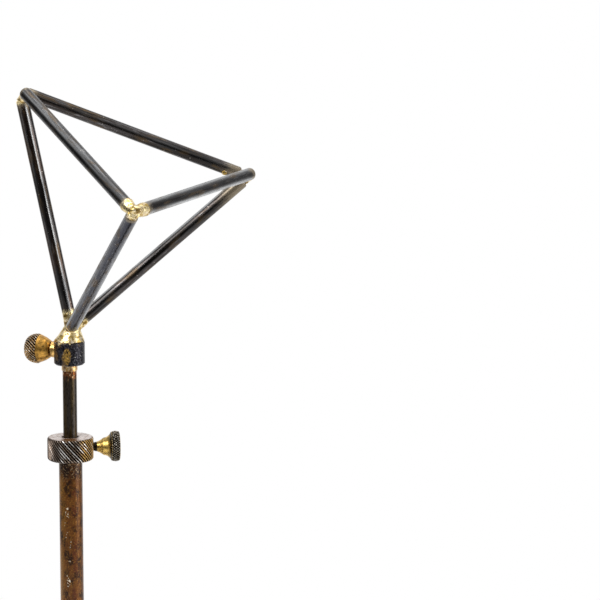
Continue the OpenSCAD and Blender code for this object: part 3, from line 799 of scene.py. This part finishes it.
def wire_mesh(name, bar, ends, tone, bands):
    """A straight wire with rounded ends, carrying its heat tints, films, tone and painted highlight bands."""
    radius, length = bar.radius / MM, (bar.end - bar.start).length / MM
    eased, shaft_end, ring_gap = 0.9, 1.2, 2
    under, over = rounded(radius, length, eased)
    rings = int(length / ring_gap)
    shaft = [(radius, shaft_end + (length - 2 * shaft_end) * ring / rings) for ring in range(rings + 1)]
    mesh = turned(name, [(r, z, 0) for r, z in under + shaft + over], WIRE_SIDES)
    points = points_of(mesh)
    heights = points[:, 2] / MM
    heat, film = np.zeros(len(heights)), np.zeros(len(heights))
    for away, (tinted, coated) in ((heights, ends[0]), (length - heights, ends[1])):
        heat = np.maximum(heat, np.clip(1 - away / tinted, 0, 1) ** 1.5)
        film = np.maximum(film, np.clip(1 - (away + 0.2) / (2 * coated), 0, 1))
    paint(mesh, "heated", heat)
    paint(mesh, "film", film)
    paint(mesh, "tone", np.full(len(heights), tone))
    # Bands of painted highlight and reflection, placed across the wire as seen from the front
    aside = points[:, 0] / bar.radius
    share = heights / length
    rubbed = sum(
        (first * (1 - share) + last * share) * np.exp(-(((aside - off) / width) ** 2))
        for off, width, first, last in bands
    )
    paint(mesh, "rubbed", np.clip(rubbed, 0, 1))
    paint_places(mesh, "own_place", np.float32(points) + np.float32(bar.start))
    mesh.transform(bar.place())
    return mesh


def add_ball(shape, centre, radius, squeeze=(1, 1, 1)):
    """Adds a ball to a braze, in metres, squeezed along the axes."""
    place = Matrix.Translation(centre) @ Matrix.Diagonal((*squeeze, 1))
    bmesh.ops.create_icosphere(shape, subdivisions=3, radius=radius, matrix=place)


def add_taper(shape, start, end, first_r, last_r, turn, depth):
    """Adds a tapered rod to a braze, in metres, as it lies after a turn."""
    place = Matrix.Translation((start + end) / 2) @ turn
    bmesh.ops.create_cone(
        shape, cap_ends=True, segments=TAPER_SIDES, radius1=first_r, radius2=last_r, depth=depth, matrix=place
    )


def add_cone(shape, start, end, first_r, last_r):
    """Adds a tapered rod with square ends to a braze, in metres."""
    way = end - start
    turn = way.to_track_quat("Z", "Y").to_matrix().to_4x4()
    add_taper(shape, start, end, first_r, last_r, turn, way.length)


def add_skirt(shape, start, end, first_r, last_r):
    """Adds a tapered rod with level ends to a braze, in metres."""
    way = end - start
    lean = Matrix(((1, 0, way.x / way.z, 0), (0, 1, way.y / way.z, 0), (0, 0, 1, 0), (0, 0, 0, 1)))
    add_taper(shape, start, end, first_r, last_r, lean, way.z)


def flowed(name, shape, inside, sizes):
    """A braze's mesh: its balls and tapers run together, smoothed, waved and kept near a box."""
    raw = bpy.data.meshes.new(name + "_raw")
    shape.to_mesh(raw)
    shape.free()
    holder = bpy.data.objects.new(name + "_raw", raw)
    bpy.context.scene.collection.objects.link(holder)
    remesh = holder.modifiers.new("run_together", "REMESH")
    remesh.mode = "VOXEL"
    remesh.voxel_size = sizes.braze_cell
    relax = holder.modifiers.new("relax", "SMOOTH")
    relax.factor = 0.5
    relax.iterations = 14
    view = bpy.context.evaluated_depsgraph_get()
    mesh = bpy.data.meshes.new_from_object(holder.evaluated_get(view))
    mesh.name = name
    bpy.data.objects.remove(holder)
    low, high = inside[0] - BRAZE_ROOM, inside[1] + BRAZE_ROOM
    for vertex in mesh.vertices:
        wave = noise.fractal(vertex.co / BRAZE_WAVELENGTH, 1.0, 2.0, 2)
        moved = vertex.co + vertex.normal * (wave * sizes.braze_wave)
        vertex.co = [min(max(value, floor), top) for value, floor, top in zip(moved, low, high)]
    mesh.shade_smooth()
    return mesh


def felt_mesh(wave):
    """The felt disc with an unevenly cut edge. The wave is in metres."""
    low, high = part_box("base_felt")
    radius, thick = radius_of("base_felt") / MM, (high.z - low.z) / MM
    under, over = rounded(radius - wave / MM, thick, thick * 0.35)
    spokes = [radius * share for share in (0.25, 0.5, 0.75, 0.92)]
    side = [(r, 0) for r in spokes] + under + over + [(r, thick) for r in spokes[::-1]]
    mesh = turned("felt_disc", [(r, z, 0) for r, z in side], FELT_SIDES)
    for vertex in mesh.vertices:
        cut = noise.noise(vertex.co.xyz.normalized() * 9) * wave
        share = vertex.co.xy.length / (radius * MM)
        vertex.co.xy *= 1 + cut / (radius * MM) * share ** 4
    return mesh


def collar_mesh(sizes):
    """The collar, from its foot up: a slanted knurl round its side, a flat top and a stepped bore."""
    radius, height = radius_of("clamp_collar") / MM, (COLLAR_TOP - COLLAR_FOOT) / MM
    rod_r, tube_r = radius_of("sliding_rod") / MM, radius_of("column_tube") / MM
    bore, socket, mouth = rod_r + 0.1, tube_r + 0.05, rod_r + 0.9
    mouth_floor, socket_top = height - 4, 3
    depth = sizes.knurl_depth / MM
    edge = rounded(radius, height, 1.6)[0]
    under = [(r, z, depth * min(1, max(0.1, (z - 0.2) / 1.2))) for r, z in edge]
    rings = 14
    side = [(radius, 1.8 + (height - 3) * ring / rings, depth) for ring in range(rings + 1)]
    brow = [(radius - 0.1, height - 0.8, depth), (radius - 0.35, height - 0.35, depth * 0.7)]
    face = [(radius - 0.8, height - 0.05), (radius - 1.2, height), (mouth + 0.3, height)]
    hole = [(mouth, height - 0.3), (mouth, mouth_floor), (bore, mouth_floor)]
    hole += [(bore, socket_top), (socket, socket_top), (socket, 0)]
    profile = under + side + brow + [(r, z, 0) for r, z in face + hole]
    slanted = knurl(sizes.collar_teeth, sizes.collar_slant, radius)
    twist = math.tan(sizes.collar_slant) / radius
    mesh = turned("knurled_collar", profile, sizes.collar_teeth * 10, slanted, twist, True)
    unslant(mesh, sizes.collar_slant, radius)
    return mesh


def lower_knob_mesh(place, sizes):
    """The lower knob, from the column outward: a bell, a rim with a diamond knurl and a dished face."""
    near, far = reach_along("low_screw_knob", place)
    rim_r, rim = 7.85, far - 4.2
    swell, rings, slant = 0.4, 24, math.radians(38)
    depth = sizes.knurl_depth / MM * 0.8
    bell = [(1.7, 0), (2.5, 0.1), (2.8, 1.0), (3.2, 1.8), (3.9, 2.8), (4.5, 3.7), (4.6, 4.6), (4.9, 5.4),
            (5.5, 6.2), (6.4, 7.0), (7.2, 7.4)]
    side = [(rim_r - swell + swell * math.sin(math.pi * ring / rings), rim + 0.2 + 3.8 * ring / rings, depth)
            for ring in range(rings + 1)]
    face = [(6.9, far, 0), (5.6, far, 0), (4.8, far - 0.5, 0), (0.4, far - 0.6, 0)]
    right, left = (knurl(sizes.knob_teeth, turn, rim_r) for turn in (slant, -slant))

    def diamonds(turn, height):
        return np.maximum(right(turn, height), left(turn, height))

    profile = [(r, near + z, 0) for r, z in bell] + side + face
    mesh = turned("lower_knob", profile, sizes.knob_teeth * 8, diamonds)
    heights = points_of(mesh)[:, 2] / MM
    # Painted shade on the flare, deepening towards the rim
    shaded = np.clip((heights - near - 4.6) / 3, 0, 1) * 0.7
    paint(mesh, "flare_shade", shaded * (heights < rim + 0.1))
    return mesh


def upper_knob_mesh(place, sizes):
    """The upper knob, from the ferrule outward: a cone and a domed rim with slanted grooves."""
    near, far = reach_along("top_screw_knob", place)
    rim_r, rim = 7.6, far - 7.3
    slant = -sizes.collar_slant
    depth = sizes.knurl_depth / MM * 0.8 * 1.6
    cone = [(1.7, near), (3.9, near), (4.4, near + 0.4), (5.2, near + 1.6), (6.1, near + 3.1),
            (6.8, rim - 1.2), (7.15, rim - 0.3)]
    dome = [(7.35, 0.1), (rim_r, 0.5), (rim_r, 1.2), (7.58, 1.9), (7.5, 2.6), (7.35, 3.3), (7.1, 4.0),
            (6.75, 4.8), (6.25, 5.6), (5.6, 6.3), (4.8, 6.85)]
    crown = [(4.0, far - 0.15), (3.0, far - 0.02), (0.4, far)]
    profile = [(r, z, 0) for r, z in cone] + [(r, rim + z, depth) for r, z in dome]
    profile += [(r, z, 0) for r, z in crown]
    slanted = knurl(sizes.knob_grooves, slant, rim_r, 0.1)
    mesh = turned("upper_knob", profile, sizes.knob_grooves * 12, slanted, math.tan(slant) / rim_r)
    unslant(mesh, slant, rim_r)
    return mesh


def wires(*names):
    """The bars of some wires."""
    return [WIRES[name + "_wire"] for name in names]


def front_braze():
    """The braze round the corner in front."""
    left, right, foot = wires("front_left", "front_right", "front_foot")
    corner = meeting(left, right, foot)
    shape = bmesh.new()
    add_ball(shape, corner + Vector((0.5, 0.6, 1.2)) * MM, 2.7 * MM, (1.3, 1, 0.8))
    add_cone(shape, left.at(-4), left.at(1.9), WIRE_R * 0.86, WIRE_R + 0.4 * MM)
    add_cone(shape, right.at(-5), right.at(2.6), WIRE_R * 0.86, WIRE_R + 0.4 * MM)
    add_cone(shape, corner, foot.at(0.1), WIRE_R * 0.95, WIRE_R * 0.9)
    return shape


def left_braze():
    """The braze on the left corner, with a tongue that laps the end of its wire."""
    top, left, front = wires("top", "left", "front_left")
    tip = left.back_from_end(-2.6) + Vector((1.2, 0, 0)) * MM
    shape = bmesh.new()
    add_cone(shape, left.back_from_end(0.7), tip, WIRE_R + 0.1 * MM, WIRE_R * 0.45)
    add_cone(shape, left.end, top.at(3), WIRE_R * 0.8, WIRE_R * 0.7)
    add_cone(shape, left.end, front.back_from_end(4), WIRE_R * 0.8, WIRE_R * 0.7)
    return shape


def right_braze():
    """The braze on the right corner, from its middle to the three wires."""
    top, right, front = wires("top", "right", "front_right")
    corner = meeting(top, right)
    shape = bmesh.new()
    add_ball(shape, corner, WIRE_R * 0.85)
    for end in (top.end, right.end, front.back_from_end(4)):
        add_cone(shape, corner, end, WIRE_R * 0.8, WIRE_R * 0.75)
    return shape


def braze_pearl():
    """The drop of braze under the top wire, near the right corner."""
    under = WIRES["top_wire"].back_from_end(8.3) + Vector((0, -0.66, -0.66)) * WIRE_R
    shape = bmesh.new()
    add_ball(shape, under, 1.6 * MM, (1.1, 0.8, 1))
    return shape


def foot_braze():
    """The braze between the ferrule and the three wires that come down to it."""
    left, right, front = wires("left", "right", "front_foot")
    foot = meeting(left, right)
    ferrule_r, seat, up = radius_of("ferrule"), Vector((0, 0, FERRULE_TOP)), Vector(UP)
    thick, thin = WIRE_R + 0.4 * MM, WIRE_R + 0.05 * MM
    shape = bmesh.new()
    add_skirt(shape, seat - up * (0.3 * MM), seat + up * (0.6 * MM), ferrule_r, ferrule_r - 0.3 * MM)
    add_skirt(shape, seat, foot + up * (1.2 * MM), ferrule_r - 0.1 * MM, thick)
    add_cone(shape, foot, left.at(4.5), thick, thin)
    add_cone(shape, foot, right.at(5.5), thick, thin)
    add_ball(shape, front.back_from_end(-0.4), 3.0 * MM, (1.1, 1, 0.8))
    return shape


# How each braze is poured, the CAD node that it keeps near, and the nodes that it stands for
BRAZES = {
    "front_braze_flow": (front_braze, "front_braze", ["front_braze"]),
    "left_braze_flow": (left_braze, "left_braze", ["left_braze"]),
    "right_braze_flow": (right_braze, "right_braze", ["right_braze"]),
    "braze_pearl": (braze_pearl, "top_wire", []),
    "foot_braze_flow": (foot_braze, "foot_braze", ["foot_braze"]),
}


class WIRESTAND_OT_base(bpy.types.Operator):
    """Dresses the cast base and what holds the column on it, and builds its felt"""

    bl_idname = "wirestand.base"
    bl_label = "Base"
    bl_options = {"REGISTER", "UNDO"}

    def execute(self, context):
        colours, sizes = settings_of(context)
        dress(japan_finish(colours), "base_casting")
        dress(steel_finish(colours), "base_washer", "base_nut", "guide_pin")
        mesh = felt_mesh(sizes.felt_wave)
        felt = add_piece("felt_disc", mesh, felt_finish(colours), "stand", "felt", "base_felt")
        return {"FINISHED"}


class WIRESTAND_OT_column(bpy.types.Operator):
    """Dresses the tube and its foot, and builds the knurled collar"""

    bl_idname = "wirestand.column"
    bl_label = "Column"
    bl_options = {"REGISTER", "UNDO"}

    def execute(self, context):
        colours, sizes = settings_of(context)
        dress(tube_finish(colours), "column_tube", "column_foot")
        mesh, brass = collar_mesh(sizes), collar_finish(colours)
        place = Matrix.Translation((0, 0, COLLAR_FOOT))
        add_piece("knurled_collar", mesh, brass, "stand", "collar_brass", "clamp_collar", place=place)
        return {"FINISHED"}


class WIRESTAND_OT_rod(bpy.types.Operator):
    """Dresses the sliding rod, its guide sleeve and the thumbscrews' stems"""

    bl_idname = "wirestand.rod"
    bl_label = "Sliding rod"
    bl_options = {"REGISTER", "UNDO"}

    def execute(self, context):
        colours = settings_of(context)[0]
        dress(rod_finish("rod_black", colours, colours.rod), "sliding_rod")
        # The stems take the rod's finish in a darker colour, as painted shade
        dress(rod_finish("stem_black_and_shade", colours, colours.stem), "low_screw_stem", "top_screw_stem")
        dress(bush_finish(colours), "guide_sleeve")
        return {"FINISHED"}


class WIRESTAND_OT_ferrule(bpy.types.Operator):
    """Dresses the ferrule with its bush, rivet and boss"""

    bl_idname = "wirestand.ferrule"
    bl_label = "Ferrule"
    bl_options = {"REGISTER", "UNDO"}

    def execute(self, context):
        colours = settings_of(context)[0]
        dress(ferrule_finish(colours), "ferrule", "bush_rivet")
        dress(bush_finish(colours), "ferrule_bush")
        boss = brass_finish("boss_brass", colours, (242, 196, 118), (242, 196, 118), (150, 110, 50), 8)
        dress(boss, "screw_boss")
        return {"FINISHED"}


class WIRESTAND_OT_thumbscrews(bpy.types.Operator):
    """Builds the two knurled knobs"""

    bl_idname = "wirestand.thumbscrews"
    bl_label = "Thumbscrews"
    bl_options = {"REGISTER", "UNDO"}

    def execute(self, context):
        colours, sizes = settings_of(context)
        place = screw_place(JOINTS["low_screw_turn"])
        mesh = lower_knob_mesh(place, sizes)
        gilt = brass_finish("lower_brass", colours, (232, 194, 106), (132, 120, 102), (16, 13, 9), 3)
        add_piece("lower_knob", mesh, gilt, "low_knob", "knob_brass", "low_screw_knob", place=place)

        place = screw_place(JOINTS["top_screw_turn"])
        mesh = upper_knob_mesh(place, sizes)
        orange = brass_finish("upper_brass", colours, (222, 168, 80), (186, 148, 96), (4, 2, 0), 12, 1.0)
        add_piece("upper_knob", mesh, orange, "top_knob", "knob_brass", "top_screw_knob", place=place)
        return {"FINISHED"}


class WIRESTAND_OT_wires(bpy.types.Operator):
    """Builds the six wires of the tetrahedron"""

    bl_idname = "wirestand.wires"
    bl_label = "Wires"
    bl_options = {"REGISTER", "UNDO"}

    def execute(self, context):
        steel = wire_finish(settings_of(context)[0])
        for node, bar in WIRES.items():
            mesh = wire_mesh(node + "_bar", bar, WIRE_ENDS[node], *WIRE_TONES[node])
            add_piece(node + "_bar", mesh, steel, "head", "wire_steel", node)
        return {"FINISHED"}


class WIRESTAND_OT_brazes(bpy.types.Operator):
    """Builds the brazed corners and a drop of braze beside one of them"""

    bl_idname = "wirestand.brazes"
    bl_label = "Brazes"
    bl_options = {"REGISTER", "UNDO"}

    def execute(self, context):
        colours, sizes = settings_of(context)
        gold = braze_finish(colours)
        for name, (pour, near, nodes) in BRAZES.items():
            mesh = flowed(name, pour(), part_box(near), sizes)
            add_piece(name, mesh, gold, "head", "braze", *nodes)
        return {"FINISHED"}


def seen(graph):
    """1 for rays from the camera, and 1 for reflected and refracted rays."""
    camera, glossy, through = (
        graph.node("ShaderNodeLightPath", output=ray)
        for ray in ("Is Camera Ray", "Is Glossy Ray", "Is Transmission Ray")
    )
    return camera, graph.greatest(glossy, through)


def add_floor(scene):
    """A pale floor that keeps the shadow and fades to white further out."""
    shape = bmesh.new()
    bmesh.ops.create_circle(shape, cap_ends=True, segments=FLOOR_SIDES, radius=FLOOR_R)
    mesh = bpy.data.meshes.new("floor")
    shape.to_mesh(mesh)
    shape.free()
    floor = bpy.data.objects.new("floor", mesh)
    scene.collection.objects.link(floor)
    paper = Finish("white_paper")
    mesh.materials.append(paper.coat(Base_Color=(0.84, 0.84, 0.84), Roughness=0.9))
    matt = Value(paper, paper.shader.outputs[0])
    white = paper.node("ShaderNodeEmission", inputs={"Color": (1, 1, 1), "Strength": 1.0})
    fade = paper.greatest(*seen(paper)) * paper.band(paper.outward(), *FLOOR_FADE)
    both = paper.node("ShaderNodeMixShader", inputs={0: fade, 1: matt, 2: white})
    paper.feed(paper.tree.nodes["Material Output"].inputs["Surface"], both)


def add_world(scene):
    """White to the camera, lit softly from above and from the table, with a white backdrop in reflections."""
    scene.world = bpy.data.worlds.new("studio")
    scene.world.use_nodes = True
    sky = Graph(scene.world.node_tree)
    way = sky.node("ShaderNodeTexCoord", output="Generated")
    depth, height = (sky.node("ShaderNodeSeparateXYZ", inputs={0: way}, output=axis) for axis in "YZ")
    camera, reflected = seen(sky)
    backdrop = reflected * sky.band(depth, 0.3, 0.8)
    table = sky.band(height, -0.14, -0.45) * 0.9
    level = sky.greatest(sky.band(height, 0.25, 0.7) * 0.65, table) * 0.96 + 0.04
    back = sky.tree.nodes["Background"]
    sky.feed(back.inputs["Color"], (1, 1, 1))
    sky.feed(back.inputs["Strength"], sky.greatest(camera, sky.greatest(level, backdrop)))


def add_lamps(scene):
    """Soft lamps that all aim at one point above the ferrule."""
    for name, (spot, size, power) in LAMPS.items():
        lamp = bpy.data.lights.new(name, "AREA")
        lamp.size = size
        lamp.energy = power
        holder = bpy.data.objects.new(name, lamp)
        holder.location = spot
        holder.rotation_euler = (LAMP_AIM - Vector(spot)).to_track_quat("-Z", "Y").to_euler()
        scene.collection.objects.link(holder)


def add_camera(scene):
    """The viewpoint, measured from the top of the collar."""
    camera = bpy.data.objects.new("camera", bpy.data.cameras.new("camera"))
    camera.location = CAMERA_PLACE + Vector((0, 0, COLLAR_TOP))
    camera.rotation_euler = (math.radians(90 - LOOK_DOWN), 0, 0)
    camera.data.sensor_width = SENSOR
    camera.data.lens = LENS
    scene.collection.objects.link(camera)
    scene.camera = camera


class WIRESTAND_OT_stage(bpy.types.Operator):
    """Sets up the floor, the studio light and the camera"""

    bl_idname = "wirestand.stage"
    bl_label = "Stage"
    bl_options = {"REGISTER", "UNDO"}

    def execute(self, context):
        context.scene.view_settings.view_transform = "Standard"
        for add in (add_floor, add_world, add_lamps, add_camera):
            add(context.scene)
        return {"FINISHED"}


class WIRESTAND_PT_panel(bpy.types.Panel):
    """Lists the steps that dress the stand"""

    bl_label = "Wire Tetrahedron Stand"
    bl_space_type = "VIEW_3D"
    bl_region_type = "UI"
    bl_category = "Stand"

    def draw(self, context):
        for step in STEPS:
            self.layout.operator(step.bl_idname)


STEPS = (
    WIRESTAND_OT_stage,
    WIRESTAND_OT_base,
    WIRESTAND_OT_column,
    WIRESTAND_OT_rod,
    WIRESTAND_OT_ferrule,
    WIRESTAND_OT_thumbscrews,
    WIRESTAND_OT_wires,
    WIRESTAND_OT_brazes,
)
CLASSES = (StandSizes, StandColours, StandSettings, *STEPS, WIRESTAND_PT_panel)


def register():
    for part in CLASSES:
        bpy.utils.register_class(part)
    bpy.types.Scene.wire_stand = PointerProperty(type=StandSettings)


def unregister():
    del bpy.types.Scene.wire_stand
    for part in reversed(CLASSES):
        bpy.utils.unregister_class(part)


def main():
    register()
    for step in STEPS:
        group, name = step.bl_idname.split(".")
        getattr(getattr(bpy.ops, group), name)()


if __name__ == "__main__":
    main()
